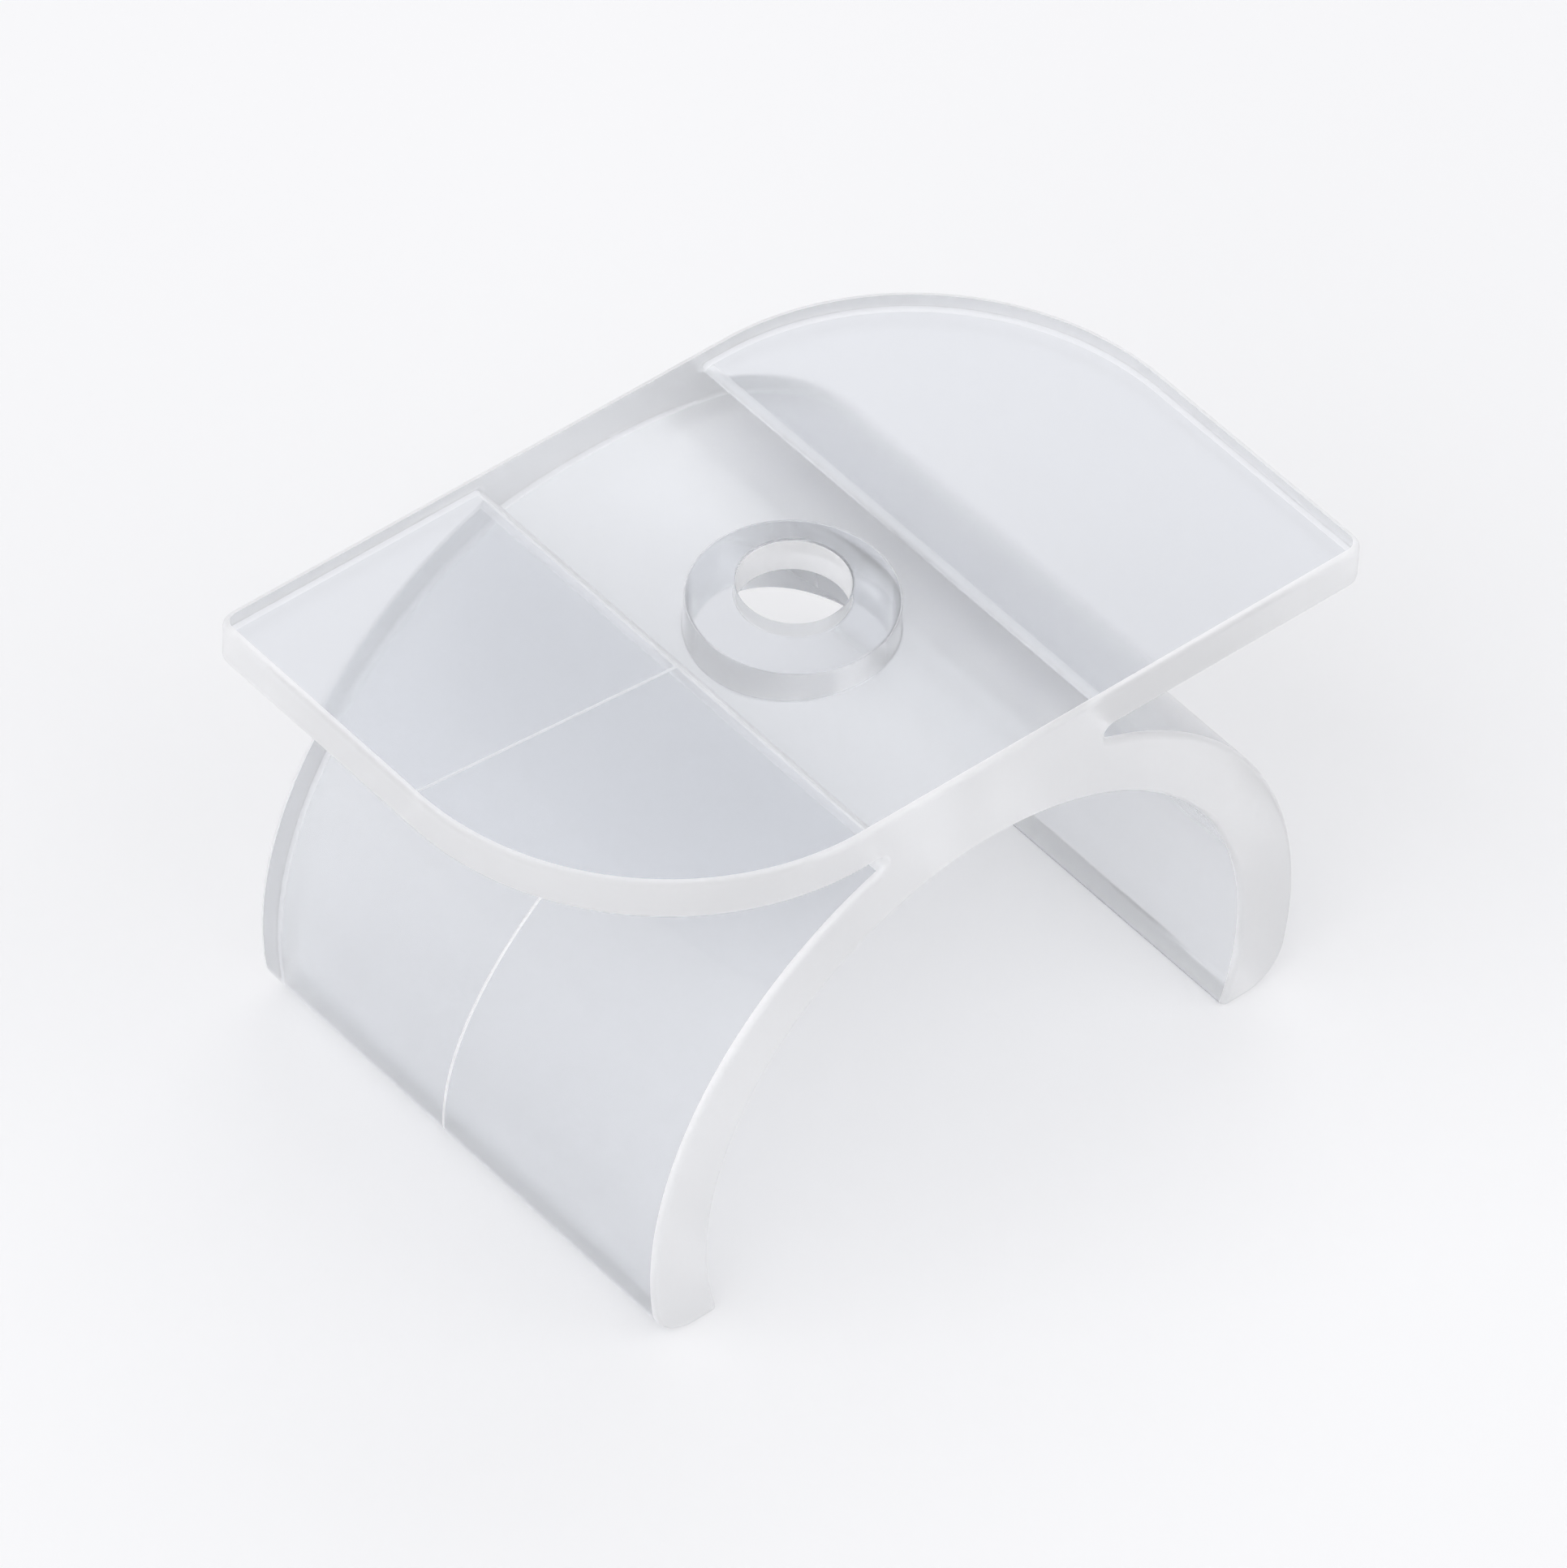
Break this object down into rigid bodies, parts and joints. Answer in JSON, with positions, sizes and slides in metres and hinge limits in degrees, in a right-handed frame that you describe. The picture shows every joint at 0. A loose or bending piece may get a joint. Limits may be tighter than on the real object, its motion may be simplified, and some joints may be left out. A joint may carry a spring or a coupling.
{
  "type": "round profile clip",
  "caption": "Clear moulded clip: an open ring snaps round a tubular profile, and its flat winged plate is fixed to a surface by a pan-head screw put in from inside the ring.",
  "frame": {"origin": "on the held profile's axis, at the middle of the clip's length", "axes": "+Y along the held profile, +Z through the screw hole towards the plate's flat face, +X across the wings"},
  "size_m": [0.0276, 0.0178, 0.0163],
  "materials": {
    "clear_plastic": "clear injection-moulded polycarbonate, polished"
  },
  "bodies": {
    "root": {"profile_clip": "clear_plastic"}
  },
  "joints": []
}
